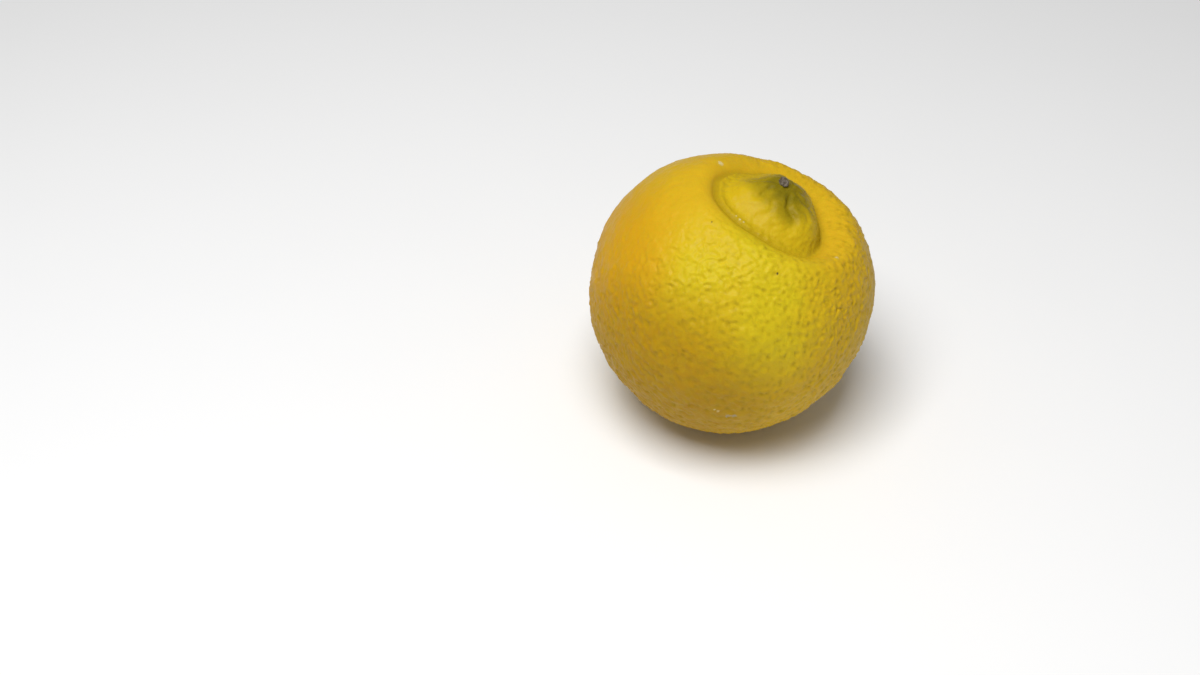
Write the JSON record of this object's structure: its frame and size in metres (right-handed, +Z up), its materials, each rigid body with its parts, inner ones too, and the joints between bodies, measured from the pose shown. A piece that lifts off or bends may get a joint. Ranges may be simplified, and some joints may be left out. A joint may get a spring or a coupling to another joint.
{
  "type": "bergamot orange",
  "caption": "Whole yellow bergamot orange with a pebbled rind, a broad nipple in a furrowed basin at its flower end and a calyx button at its stem end.",
  "frame": {"origin": "middle of the small flat spot that the fruit rests on", "axes": "+Z up off the table; the fruit's stem-to-nipple axis leans 20 degrees from +Z towards +X"},
  "size_m": [0.0707, 0.0704, 0.068],
  "materials": {
    "rind": "waxy pebbled citrus rind with a soft sheen, yellow with an orange blush and an olive-green nipple",
    "calyx": "dry, matt, green-brown calyx with a clipped woody stalk"
  },
  "bodies": {
    "root": {"fruit": "rind", "calyx_button": "calyx"}
  },
  "joints": []
}
